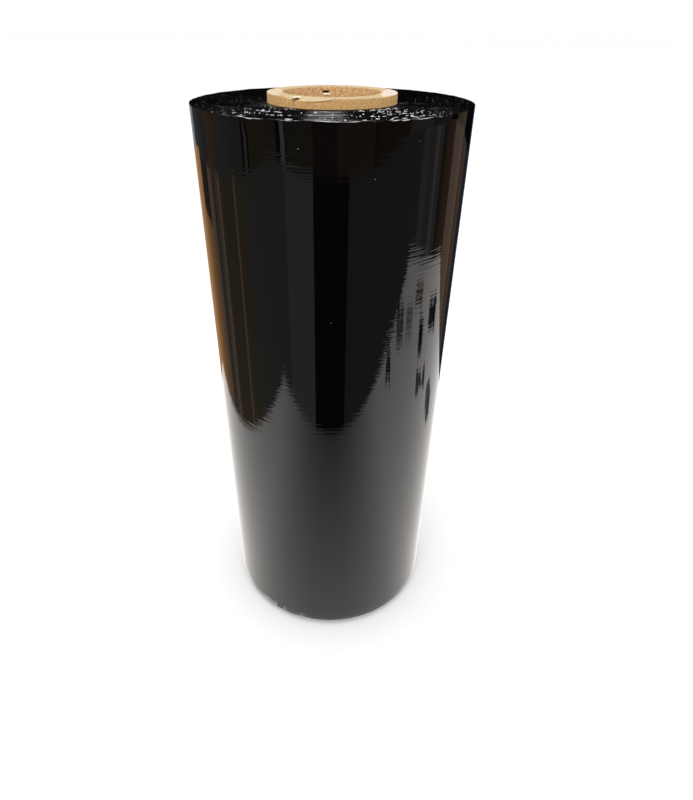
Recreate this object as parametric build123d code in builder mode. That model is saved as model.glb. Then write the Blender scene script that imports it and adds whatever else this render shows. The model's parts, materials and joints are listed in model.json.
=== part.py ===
"""Stretch wrap roll: black stretch film wound on a spiral paperboard tube, standing on its end.

Millimetres, +Z up along the roll's axis. The origin is the centre of the core's lower end, which is the
face that the roll stands on. The roll's front, where its core is nicked and shaved, faces -Y.
"""

import math
import os

from build123d import *

# --- driving dimensions -----------------------------------------------------------------------------

FILM_WIDTH = 500.0  # width of the film web, along the axis
FILM_DIAMETER = 217.0  # outside of the wound film
RIM_ROUND = 1.0  # radius of the film's outermost edges, which slump a little

CORE_BORE = 76.2  # the usual 3 inch bore
CORE_WALL = 12.0  # glued plies of paperboard
CORE_STAND_OUT = 7.0  # how far the core stands proud of the film web at each end
CORE_EDGE_ROUND = 0.5  # softened edges of the saw-cut ends

# The web drifts sideways as it is wound, so the ends of the roll are shallow steps. Each value is one
# band's drift along the axis, from the core outwards. Every band holds the same length of film.
WEB_DRIFT = (0.0, 0.45, 0.15, 0.6, 0.25, 0.7, 0.4, 0.55)
DRIFT_RUN = 0.9  # radial distance over which the web moves from one drift to the next

# --- wear on the core's upper end, by azimuth from the front (-Y), positive towards +X ---------------

SHAVE_AZIMUTH = -22.0  # middle of the crescent that is sliced off the outer edge
SHAVE_DROP = 2.3  # how far the slice reaches down the outer wall
SHAVE_BITE = 5.0  # how far the slice reaches in across the cut end

NICK_AZIMUTH = -31.0  # a knife nick beside the slice, under a lifted ply
NICK_DEPTH_BELOW_END = 1.6
NICK_LENGTH = 5.5
NICK_WIDTH = 1.0
NICK_DEPTH = 3.0
NICK_SLOPE = 20.0  # degrees above the horizontal, rising towards +X

RIP_AZIMUTH = -33.5  # the outer ply is ripped straight down from the nick's lower end
RIP_WIDTH = 0.4
RIP_DEPTH = 0.5
RIP_FOOT_GAP = 1.2  # plain wall left between the rip and the film

GOUGE_AZIMUTH = -172.0  # a gouge in the bore, at the back
GOUGE_DEPTH_BELOW_END = 4.0
GOUGE_LENGTH = 6.0
GOUGE_HEIGHT = 1.8
GOUGE_DEPTH = 1.8

TOOL_CLEARANCE = 2.0  # how far a cutting shape starts outside the wall that it cuts

# --- worked out from the above ----------------------------------------------------------------------

film_radius = FILM_DIAMETER / 2
bore_radius = CORE_BORE / 2
core_radius = bore_radius + CORE_WALL
core_length = FILM_WIDTH + 2 * CORE_STAND_OUT


def wall_plane(azimuth, height, radius, outwards=True, slope=0.0):
    """A plane that touches a wall of the core.

    Args:
        azimuth: degrees round the axis from the front (-Y), positive towards +X.
        height: height of the plane's origin above the core's lower end.
        radius: radius of the plane's origin.
        outwards: whether the plane's normal points away from the axis, or towards it.
        slope: degrees by which the plane's x axis rises above the horizontal.

    Returns:
        The plane. Its x axis runs round the wall.
    """
    turn = math.radians(azimuth)
    rise = math.radians(slope)
    radial = Vector(math.sin(turn), -math.cos(turn), 0)
    around = Vector(math.cos(turn), math.sin(turn), 0)
    origin = radial * radius + Vector(0, 0, height)
    x_dir = around * math.cos(rise) + Vector(0, 0, math.sin(rise))
    return Plane(origin=origin, x_dir=x_dir, z_dir=radial if outwards else -radial)


def shave_plane():
    """The sloping plane along which a crescent is sliced off the core's outer edge."""
    turn = math.radians(SHAVE_AZIMUTH)
    tilt = math.atan2(SHAVE_DROP, SHAVE_BITE)
    radial = Vector(math.sin(turn), -math.cos(turn), 0)
    around = Vector(math.cos(turn), math.sin(turn), 0)
    origin = radial * core_radius + Vector(0, 0, core_length - SHAVE_DROP)
    normal = radial * math.sin(tilt) + Vector(0, 0, math.cos(tilt))
    return Plane(origin=origin, x_dir=around, z_dir=normal)


def band_radii():
    """Radii that bound the bands of film, from the core to the outside, at equal film lengths."""
    inner_area = core_radius**2
    area_step = (film_radius**2 - inner_area) / len(WEB_DRIFT)
    return [math.sqrt(inner_area + area_step * count) for count in range(len(WEB_DRIFT) + 1)]


def stepped_edge(level):
    """Points (radius, height) of one stepped end of the film, from the core outwards.

    Args:
        level: height of an end of the web where it has no drift.
    """
    radii = band_radii()
    points = [(radii[0], level + WEB_DRIFT[0])]
    for radius, inner_drift, outer_drift in zip(radii[1:-1], WEB_DRIFT, WEB_DRIFT[1:]):
        points.append((radius - DRIFT_RUN / 2, level + inner_drift))
        points.append((radius + DRIFT_RUN / 2, level + outer_drift))
    points.append((radii[-1], level + WEB_DRIFT[-1]))
    return points


# --- core: one glued paperboard tube ----------------------------------------------------------------

with BuildPart() as core:
    with BuildSketch(Plane.XY):
        Circle(core_radius)
        Circle(bore_radius, mode=Mode.SUBTRACT)
    extrude(amount=core_length)
    fillet(core.edges().filter_by(GeomType.CIRCLE), radius=CORE_EDGE_ROUND)

    # The slice runs along a straight chord, so its cutting sheet is as wide as the core.
    shave_slope = math.hypot(SHAVE_DROP, SHAVE_BITE)
    with BuildSketch(shave_plane()):
        Rectangle(2 * core_radius, 2 * (shave_slope + TOOL_CLEARANCE))
    extrude(amount=SHAVE_DROP + TOOL_CLEARANCE, mode=Mode.SUBTRACT)

    nick_height = core_length - NICK_DEPTH_BELOW_END
    nick_start = core_radius + TOOL_CLEARANCE
    with BuildSketch(wall_plane(NICK_AZIMUTH, nick_height, nick_start, slope=NICK_SLOPE)):
        Rectangle(NICK_LENGTH, NICK_WIDTH)
    extrude(amount=-(TOOL_CLEARANCE + NICK_DEPTH), mode=Mode.SUBTRACT)

    # The rip hangs from the nick's lower end and stops short of the film.
    nick_fall = NICK_LENGTH / 2 * math.sin(math.radians(NICK_SLOPE))
    rip_top = nick_height - nick_fall
    rip_foot = core_length - CORE_STAND_OUT + RIP_FOOT_GAP
    with BuildSketch(wall_plane(RIP_AZIMUTH, (rip_top + rip_foot) / 2, nick_start)):
        Rectangle(RIP_WIDTH, rip_top - rip_foot)
    extrude(amount=-(TOOL_CLEARANCE + RIP_DEPTH), mode=Mode.SUBTRACT)

    gouge_height = core_length - GOUGE_DEPTH_BELOW_END
    gouge_start = bore_radius - TOOL_CLEARANCE
    with BuildSketch(wall_plane(GOUGE_AZIMUTH, gouge_height, gouge_start, outwards=False)):
        SlotOverall(GOUGE_LENGTH, GOUGE_HEIGHT)
    extrude(amount=-(TOOL_CLEARANCE + GOUGE_DEPTH), mode=Mode.SUBTRACT)

# --- film_roll: all the turns of film as one solid, tight on the core --------------------------------

with BuildPart() as film_roll:
    with BuildSketch(Plane.XZ) as film_section:
        lower_end = stepped_edge(CORE_STAND_OUT)
        upper_end = stepped_edge(CORE_STAND_OUT + FILM_WIDTH)
        with BuildLine():
            Polyline(*lower_end, *reversed(upper_end), close=True)
        make_face()
        outermost = film_section.vertices().group_by(Axis.X)[-1]
        fillet(outermost, radius=RIM_ROUND)
    revolve(axis=Axis.Z)

core.part.label = "core"
film_roll.part.label = "film_roll"

os.makedirs("parts", exist_ok=True)
for piece in (core.part, film_roll.part):
    export_step(piece, f"parts/{piece.label}.step")
    print(piece.label, "volume", round(piece.volume), "mm3")
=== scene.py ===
"""Looks of a stretch wrap roll: black stretch film wound on a kraft paperboard core, standing on its end.

Metres, +Z up along the roll's axis. An azimuth is measured round the axis from the front (-Y), positive
towards +X, in degrees. Sizes named with _mm are millimetres.
"""

import json
import logging
import math
import random
from dataclasses import dataclass, field
from enum import Enum
from functools import cached_property

import bmesh
import bpy
from mathutils import Matrix, Vector, kdtree, noise


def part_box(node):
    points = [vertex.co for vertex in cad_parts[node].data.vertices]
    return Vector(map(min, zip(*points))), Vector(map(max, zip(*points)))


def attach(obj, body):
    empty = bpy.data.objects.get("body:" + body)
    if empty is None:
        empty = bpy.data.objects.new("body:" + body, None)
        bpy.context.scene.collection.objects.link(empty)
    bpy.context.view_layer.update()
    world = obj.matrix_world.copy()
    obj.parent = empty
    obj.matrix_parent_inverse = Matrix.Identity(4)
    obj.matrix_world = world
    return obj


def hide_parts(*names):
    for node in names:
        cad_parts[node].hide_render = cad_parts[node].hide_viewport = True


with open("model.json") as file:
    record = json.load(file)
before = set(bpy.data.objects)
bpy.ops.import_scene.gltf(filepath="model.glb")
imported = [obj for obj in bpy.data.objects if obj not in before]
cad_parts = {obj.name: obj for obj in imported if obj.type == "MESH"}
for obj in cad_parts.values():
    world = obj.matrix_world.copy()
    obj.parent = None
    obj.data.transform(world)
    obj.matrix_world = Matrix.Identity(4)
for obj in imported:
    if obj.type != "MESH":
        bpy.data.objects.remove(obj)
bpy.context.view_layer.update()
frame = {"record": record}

log = logging.getLogger("stretch_wrap_roll")

MM = 0.001
NOISE_SEED = 5
Colour = tuple[float, float, float]
BLACK = (0.0, 0.0, 0.0, 1.0)
WHITE = (1.0, 1.0, 1.0, 1.0)


class End(Enum):
    """Which way an end of the roll faces along Z."""

    LOWER = -1
    UPPER = 1


class SeenBy(Enum):
    """Which rays meet a staged surface."""

    EYE_AND_LIGHT = "eye and light"
    GLOSS = "gloss"


def on_roll(azimuth: float, radius: float, height: float) -> Vector:
    """Places a point round the roll's axis.

    Args:
        azimuth: degrees from the front, positive towards +X.
        radius: distance from the axis, in metres.
        height: height in metres.

    Returns:
        The point.
    """
    turn = math.radians(azimuth)
    return Vector((radius * math.sin(turn), -radius * math.cos(turn), height))


def azimuth_of(place: Vector) -> float:
    """The azimuth of a point, in degrees from -180 to 180."""
    return math.degrees(math.atan2(place.x, -place.y))


def turned_between(azimuth: float, middle: float) -> float:
    """How far an azimuth lies from another one, in degrees from -180 to 180."""
    return (azimuth - middle + 180.0) % 360.0 - 180.0


def eased(value: float, low: float, high: float) -> float:
    """Rises smoothly from 0 at low to 1 at high, and stays level outside them."""
    share = min(1.0, max(0.0, (value - low) / (high - low)))
    return share * share * (3.0 - 2.0 * share)


def hump(distance: float, reach: float) -> float:
    """A soft hump, 1 at no distance and 0 at its reach or past it."""
    share = abs(distance) / reach
    return (1.0 - share * share) ** 2 if share < 1.0 else 0.0


def flutter(azimuth: float, per_turn: float, layer: float) -> float:
    """Smooth noise that closes on itself round the roll.

    Args:
        azimuth: degrees.
        per_turn: roughly how many swells a full turn holds.
        layer: picks another part of the noise.

    Returns:
        About -1 to 1.
    """
    turn = math.radians(azimuth)
    reach = per_turn / math.tau
    return noise.noise(Vector((reach * math.cos(turn), reach * math.sin(turn), layer)))


# --- materials ---------------------------------------------------------------------------------------


class Amount:
    """A number that varies over a surface. Its operators add Math nodes."""

    def __init__(self, bench: "Bench", socket: bpy.types.NodeSocket) -> None:
        """Wraps an output socket of the bench's node tree."""
        self.bench = bench
        self.socket = socket

    def _math(self, operation: str, first: "Amount | float", second: "Amount | float" = 0.0) -> "Amount":
        """Adds one Math node."""
        node = self.bench.add("ShaderNodeMath", {"operation": operation}, {0: first, 1: second})
        return Amount(self.bench, node.outputs[0])

    def __add__(self, other: "Amount | float") -> "Amount":
        """This plus other."""
        return self._math("ADD", self, other)

    def __radd__(self, other: float) -> "Amount":
        """Other plus this."""
        return self._math("ADD", other, self)

    def __sub__(self, other: "Amount | float") -> "Amount":
        """This minus other."""
        return self._math("SUBTRACT", self, other)

    def __rsub__(self, other: float) -> "Amount":
        """Other minus this."""
        return self._math("SUBTRACT", other, self)

    def __mul__(self, other: "Amount | float") -> "Amount":
        """This times other."""
        return self._math("MULTIPLY", self, other)

    def __rmul__(self, other: float) -> "Amount":
        """Other times this."""
        return self._math("MULTIPLY", other, self)

    def __truediv__(self, other: "Amount | float") -> "Amount":
        """This over other."""
        return self._math("DIVIDE", self, other)

    def __pow__(self, power: float) -> "Amount":
        """This to a power."""
        return self._math("POWER", self, power)

    def __abs__(self) -> "Amount":
        """This without its sign."""
        return self._math("ABSOLUTE", self)

    def least(self, other: "Amount | float") -> "Amount":
        """The lesser of this and other."""
        return self._math("MINIMUM", self, other)

    def most(self, other: "Amount | float") -> "Amount":
        """The greater of this and other."""
        return self._math("MAXIMUM", self, other)

    def sine(self) -> "Amount":
        """The sine of this, in radians."""
        return self._math("SINE", self)

    def angle_from(self, other: "Amount") -> "Amount":
        """The angle whose tangent is this over other, in radians."""
        return self._math("ARCTAN2", self, other)

    def eased(self, low: float, high: float) -> "Amount":
        """Rises smoothly from 0 at low to 1 at high, or falls if low is the greater."""
        settings = {"interpolation_type": "SMOOTHSTEP"}
        first, last, bottom, top = (low, high, 0.0, 1.0) if low < high else (high, low, 1.0, 0.0)
        node = self.bench.add("ShaderNodeMapRange", settings, {0: self, 1: first, 2: last, 3: bottom, 4: top})
        return Amount(self.bench, node.outputs[0])


class Bench:
    """Builds the node tree of one material, or of the world."""

    def __init__(self, owner: "bpy.types.Material | bpy.types.World") -> None:
        """Empties the owner's node tree.

        Args:
            owner: the material or world whose nodes are made.
        """
        self.owner = owner
        self.owner.use_nodes = True
        self.tree = owner.node_tree
        self.tree.nodes.clear()

    @classmethod
    def for_finish(cls, name: str) -> "Bench":
        """A bench that makes a new material."""
        return cls(bpy.data.materials.new(name))

    @cached_property
    def place(self) -> bpy.types.NodeSocket:
        """The surface point, in the piece's own coordinates."""
        return self.add("ShaderNodeTexCoord").outputs["Object"]

    def add(self, kind: str, settings: dict | None = None, inputs: dict | None = None) -> bpy.types.Node:
        """Adds any node.

        Args:
            kind: the node's type.
            settings: the node's own properties, set before its sockets are.
            inputs: values, sockets or Amounts for its inputs, by name or number.

        Returns:
            The node.
        """
        node = self.tree.nodes.new(kind)
        for key, value in (settings or {}).items():
            setattr(node, key, value)
        for key, value in (inputs or {}).items():
            source = value.socket if isinstance(value, Amount) else value
            if isinstance(source, bpy.types.NodeSocket):
                self.tree.links.new(source, node.inputs[key])
            else:
                node.inputs[key].default_value = source
        return node

    def axes(self) -> tuple[Amount, Amount, Amount]:
        """The surface point's X, Y and Z, in metres."""
        node = self.add("ShaderNodeSeparateXYZ", inputs={0: self.place})
        return Amount(self, node.outputs[0]), Amount(self, node.outputs[1]), Amount(self, node.outputs[2])

    def vector(self, x: Amount | float, y: Amount | float, z: Amount | float) -> bpy.types.NodeSocket:
        """A vector from three numbers."""
        return self.add("ShaderNodeCombineXYZ", inputs={0: x, 1: y, 2: z}).outputs[0]

    def stretched(self, across: float, along: float) -> bpy.types.NodeSocket:
        """The surface point with X and Y times across, and Z times along."""
        node = self.add("ShaderNodeMapping", inputs={0: self.place, "Scale": (across, across, along)})
        return node.outputs[0]

    def grain(
        self, at: bpy.types.NodeSocket, scale: float, detail: float = 2.0, rough: float = 0.5
    ) -> Amount:
        """Noise about 0.5.

        Args:
            at: the vector that it is read at.
            scale: how fine it is.
            detail: how many finer layers it has.
            rough: how strong the finer layers are.

        Returns:
            The noise, mostly 0.25 to 0.75.
        """
        inputs = {"Vector": at, "Scale": scale, "Detail": detail, "Roughness": rough}
        return Amount(self, self.add("ShaderNodeTexNoise", inputs=inputs).outputs[0])

    def specks(self, at: bpy.types.NodeSocket, scale: float, size: float) -> Amount:
        """Small round specks: 1 inside each, 0 outside.

        Args:
            at: the vector that they are read at.
            scale: how many cells there are along a unit.
            size: the largest speck's radius, as a share of a cell.

        Returns:
            The specks, with soft edges.
        """
        node = self.add("ShaderNodeTexVoronoi", inputs={"Vector": at, "Scale": scale})
        distance = Amount(self, node.outputs["Distance"])
        tone = Amount(self, self.add("ShaderNodeSeparateColor", inputs={0: node.outputs["Color"]}).outputs[0])
        return (distance / (tone ** 6.0 * size + 0.0001)).eased(1.0, 0.7)

    def mixed(self, factor: Amount | float, first: object, second: object) -> bpy.types.NodeSocket:
        """A mix of two colours.

        Args:
            factor: 0 for the first, 1 for the second.
            first: a colour or a colour socket.
            second: a colour or a colour socket.

        Returns:
            The mixed colour.
        """
        sources = [(*c, 1.0) if isinstance(c, tuple) else c for c in (first, second)]
        inputs = {0: factor, 6: sources[0], 7: sources[1]}
        return self.add("ShaderNodeMix", {"data_type": "RGBA"}, inputs).outputs[2]

    def bumped(self, relief_mm: Amount) -> bpy.types.NodeSocket:
        """The normal of a surface with this relief, in millimetres."""
        inputs = {"Strength": 1.0, "Distance": MM, "Height": relief_mm}
        return self.add("ShaderNodeBump", inputs=inputs).outputs[0]

    def finish(self, inputs: dict) -> bpy.types.Material:
        """Adds the surface shader and its output.

        Args:
            inputs: values, sockets or Amounts for the shader's sockets, by name.

        Returns:
            The material.
        """
        shader = self.add("ShaderNodeBsdfPrincipled", inputs=inputs)
        self.add("ShaderNodeOutputMaterial", inputs={"Surface": shader.outputs[0]})
        return self.owner

    def glow_finish(self, tone: bpy.types.NodeSocket, strength: float) -> bpy.types.Material:
        """Adds a shader that only gives off light.

        Args:
            tone: the light's colour over the surface.
            strength: the radiance where the colour is white.

        Returns:
            The material.
        """
        inputs = {"Base Color": BLACK, "Specular IOR Level": 0.0, "Emission Color": tone}
        return self.finish({**inputs, "Emission Strength": strength})


@dataclass(frozen=True)
class Board:
    """Paperboard: one face of the glued tube, with its fibres, flecks and mottle."""

    name: str
    shade: Colour
    dark: Colour
    pale: Colour
    fleck: Colour
    mottle: float
    relief_mm: float
    plies: bool = False
    ply_mm: float = 0.62

    def material(self, scars: "tuple[Scar | PaintedShaveShadow, ...]" = ()) -> bpy.types.Material:
        """Makes the finish.

        Args:
            scars: marks that show darker or paler board; some of them are painted shade or painted
                highlights.

        Returns:
            The material.
        """
        bench = Bench.for_finish(self.name)
        x, y, z = bench.axes()
        cloudy = bench.grain(bench.stretched(560.0, 820.0), 1.0, 3.0, 0.7)
        fibres = bench.grain(bench.stretched(800.0, 1500.0), 1.0, 2.0, 0.7)
        tone = bench.mixed(cloudy.eased(0.5 - self.mottle, 0.5 + self.mottle), self.dark, self.pale)
        tone = bench.mixed(fibres.eased(0.35, 0.65) * 0.5, tone, self.shade)
        relief = cloudy * self.relief_mm + fibres * (self.relief_mm * 0.6)
        if self.plies:
            radius = (x * x + y * y) ** 0.5
            wander = bench.grain(bench.place, 60.0, 1.0)
            ply = (radius * (math.tau / (self.ply_mm * MM)) + wander * 5.0).sine()
            tone = bench.mixed(ply.eased(0.55, 1.0) * 0.35, tone, self.dark)
            relief = relief + ply * (self.relief_mm * 0.7)
        tone = bench.mixed(bench.specks(bench.place, 420.0, 0.42) * 0.75, tone, self.fleck)
        for scar in scars:
            tone = bench.mixed(scar.mask(bench, (x, y, z)), tone, scar.colour)
        rough = 0.82 + fibres * 0.12
        inputs = {"Base Color": tone, "Roughness": rough, "IOR": 1.45, "Specular IOR Level": 0.12}
        return bench.finish({**inputs, "Normal": bench.bumped(relief)})


@dataclass(frozen=True)
class Scar:
    """A ragged, soft-edged mark on the board, round a point."""

    colour: Colour
    azimuth: float
    radius: float
    height: float
    half_size_mm: tuple[float, float, float]
    slope: float = 0.0
    strength: float = 1.0

    def mask(self, bench: Bench, at: tuple[Amount, Amount, Amount]) -> Amount:
        """How much of the mark shows at a point.

        Args:
            bench: the bench of the material that has the mark.
            at: the point's X, Y and Z.

        Returns:
            0 to the mark's strength.
        """
        centre = on_roll(self.azimuth, self.radius, self.height)
        turn, tilt = math.radians(self.azimuth), math.radians(self.slope)
        x, y, z = at
        around = (x - centre.x) * math.cos(turn) + (y - centre.y) * math.sin(turn)
        outwards = (x - centre.x) * math.sin(turn) - (y - centre.y) * math.cos(turn)
        rise = z - centre.z
        along = around * math.cos(tilt) + rise * math.sin(tilt)
        across = rise * math.cos(tilt) - around * math.sin(tilt)
        length, height, depth = (half * MM for half in self.half_size_mm)
        reach = (along / length) ** 2.0 + (across / height) ** 2.0 + (outwards / depth) ** 2.0
        ragged = reach + (bench.grain(bench.place, 900.0) - 0.5) * 0.9
        return ragged.eased(1.0, 0.6) * self.strength


@dataclass(frozen=True)
class PaintedShaveShadow:
    """A thin brown line of painted shade along the wall just below the shaved crescent, where its edge casts
    a shadow.
    """

    colour: Colour
    foot: Vector
    normal: Vector
    first_azimuth: float
    last_azimuth: float
    width_mm: float = 1.1

    def mask(self, bench: Bench, at: tuple[Amount, Amount, Amount]) -> Amount:
        """How much of the line shows at a point.

        Args:
            bench: the bench of the material that has the line; not used.
            at: the point's X, Y and Z.

        Returns:
            0 to 1.
        """
        x, y, z = at
        above = x * self.normal.x + y * self.normal.y + (z - self.foot.z) * self.normal.z
        above = above - self.foot.xy.dot(self.normal.xy)
        azimuth = x.angle_from(y * -1.0)
        first, last = math.radians(self.first_azimuth), math.radians(self.last_azimuth)
        stretch = azimuth.eased(first, first + 0.1) * azimuth.eased(last, last - 0.15)
        return above.eased(-self.width_mm * MM, -0.2 * MM) * stretch * 0.8


@dataclass(frozen=True)
class GlossFilm:
    """The outside of the wound film: black, near a mirror, with hoop ripples, dust and a scratch."""

    colour: Colour = (0.0008, 0.0008, 0.0009)
    dust: Colour = (0.16, 0.155, 0.15)
    roughness: float = 0.03
    ripple_mm: float = 0.060
    swell_mm: float = 0.060
    scratch_azimuth: float = -39.0
    scratch_height: float = 0.170
    scratch_half_mm: float = 6.0
    scratch_lean: float = 0.14
    index: float = 1.52

    def material(self, radius: float) -> bpy.types.Material:
        """Makes the finish.

        Args:
            radius: the roll's radius in metres.

        Returns:
            The material.
        """
        bench = Bench.for_finish("gloss_film")
        x, y, z = bench.axes()
        ripple = bench.grain(bench.stretched(24.0, 600.0), 1.0, 1.0, 0.5)
        swell = bench.grain(bench.stretched(9.0, 26.0), 1.0, 2.0, 0.4)
        calm = bench.grain(bench.stretched(8.0, 14.0), 1.0, 1.0).eased(0.35, 0.65)
        relief = (ripple - 0.5) * (calm * 0.8 + 0.35) * self.ripple_mm + (swell - 0.5) * self.swell_mm
        scratch = self._scratch(bench, (x, y, z), radius)
        relief = relief - scratch * 0.02
        haze = bench.grain(bench.stretched(30.0, 12.0), 1.0, 3.0, 0.6).eased(0.35, 0.8)
        rough = haze * 0.025 + self.roughness + scratch * 0.3
        tone = bench.mixed(bench.specks(bench.place, 140.0, 0.07), self.colour, self.dust)
        inputs = {
            "Base Color": tone,
            "Roughness": rough,
            "IOR": self.index,
            "Normal": bench.bumped(relief),
        }
        return bench.finish(inputs)

    def _scratch(self, bench: Bench, at: tuple[Amount, Amount, Amount], radius: float) -> Amount:
        """Marks a short slanted scratch.

        Args:
            bench: the bench of the material; not used.
            at: the point's X, Y and Z.
            radius: the roll's radius in metres.

        Returns:
            1 in the scratch and 0 outside it.
        """
        centre = on_roll(self.scratch_azimuth, radius, self.scratch_height)
        turn = math.radians(self.scratch_azimuth)
        x, y, z = at
        along = (x - centre.x) * math.cos(turn) + (y - centre.y) * math.sin(turn)
        outwards = (x - centre.x) * math.sin(turn) - (y - centre.y) * math.cos(turn)
        rise = z - centre.z
        lean = abs(along - rise * self.scratch_lean).eased(0.5 * MM, 0.15 * MM)
        length = abs(rise).eased(self.scratch_half_mm * MM, self.scratch_half_mm * 0.6 * MM)
        near = outwards.eased(-0.03, -0.02)
        return lean * length * near


@dataclass(frozen=True)
class TurnedFilm:
    """Slivers of film edge that are turned up and drawn thin, so that they glint more than the rest."""

    colour: Colour = (0.010, 0.010, 0.011)
    roughness: float = 0.07
    crumple_mm: float = 0.07
    index: float = 1.70

    def material(self) -> bpy.types.Material:
        """Makes the finish.

        Returns:
            The material.
        """
        bench = Bench.for_finish("turned_film")
        crumple = bench.grain(bench.place, 700.0, 2.0)
        inputs = {
            "Base Color": (*self.colour, 1.0),
            "Roughness": crumple * 0.06 + self.roughness,
            "IOR": self.index,
            "Normal": bench.bumped(crumple * self.crumple_mm),
        }
        return bench.finish(inputs)


@dataclass(frozen=True)
class FilmEdges:
    """The ends of the wound film: thousands of film edges, satin black, with rings and short creases.

    Each edge leans a little, so that the end looks tilted outwards by the lean.
    """

    colour: Colour = (0.001, 0.001, 0.0011)
    roughness: float = 0.10
    ring_mm: float = 0.10
    band_mm: float = 0.65
    crease_mm: float = 0.10
    creases: int = 300
    lean: float = 0.26
    index: float = 1.16

    def material(self) -> bpy.types.Material:
        """Makes the finish.

        Returns:
            The material.
        """
        bench = Bench.for_finish("film_edges")
        x, y, z = bench.axes()
        radius = (x * x + y * y) ** 0.5
        coarse = bench.grain(bench.vector(x / radius * 1.6, y / radius * 1.6, radius * 900.0), 1.0, 2.0, 0.6)
        fine = bench.grain(bench.vector(x / radius * 9.0, y / radius * 9.0, radius * 2600.0), 1.0, 1.0)
        bands = bench.grain(bench.vector(x / radius * 2.6, y / radius * 2.6, radius * 170.0), 1.0, 1.0)
        patchy = bench.grain(bench.place, 38.0, 2.0).eased(0.42, 0.62) * (abs(x) / radius).eased(0.5, 0.8)
        turn = x.angle_from(y)
        crease = (turn * float(self.creases) + radius * 900.0 + coarse * 3.0).sine()
        relief = (coarse - 0.5) * self.ring_mm + (fine - 0.5) * (self.ring_mm * 0.5)
        relief = relief + (bands - 0.5) * self.band_mm
        relief = relief + crease * patchy * self.crease_mm - radius * (self.lean / MM)
        rough = coarse * 0.08 + (self.roughness - 0.04)
        inputs = {
            "Base Color": (*self.colour, 1.0),
            "Roughness": rough,
            "IOR": self.index,
            "Normal": bench.bumped(relief),
        }
        return bench.finish(inputs)


# --- meshes ------------------------------------------------------------------------------------------


def spun(section: list[tuple[float, float]], segments: int) -> bmesh.types.BMesh:
    """Turns a closed section about the roll's axis.

    Args:
        section: (radius, height) of the section's points, in order.
        segments: how many steps there are in a full turn.

    Returns:
        The bmesh of the closed ring.
    """
    bm = bmesh.new()
    points = [bm.verts.new((0.0, -radius, height)) for radius, height in section]
    sides = [bm.edges.new((points[i - 1], points[i])) for i in range(len(points))]
    bmesh.ops.spin(
        bm, geom=points + sides, cent=(0, 0, 0), axis=(0, 0, 1), angle=math.tau, steps=segments,
        use_merge=True,
    )
    bmesh.ops.recalc_face_normals(bm, faces=bm.faces)
    return bm


def spread(first: float, last: float, count: int) -> list[float]:
    """Count evenly spaced values from first up to, but not including, last."""
    return [first + (last - first) * i / count for i in range(count)]


def shown(
    name: str, bm: bmesh.types.BMesh, materials: list[bpy.types.Material], crease: float
) -> bpy.types.Object:
    """Makes an object of a bmesh, which is freed.

    Args:
        name: the piece's name.
        bm: its mesh.
        materials: its finishes, in the order of its faces' indices.
        crease: the angle in degrees past which an edge looks sharp.

    Returns:
        The object, in the scene.
    """
    mesh = bpy.data.meshes.new(name)
    bm.to_mesh(mesh)
    bm.free()
    for material in materials:
        mesh.materials.append(material)
    mesh.shade_smooth()
    mesh.set_sharp_from_angle(angle=math.radians(crease))
    piece = bpy.data.objects.new(name, mesh)
    bpy.context.scene.collection.objects.link(piece)
    return piece


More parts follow.
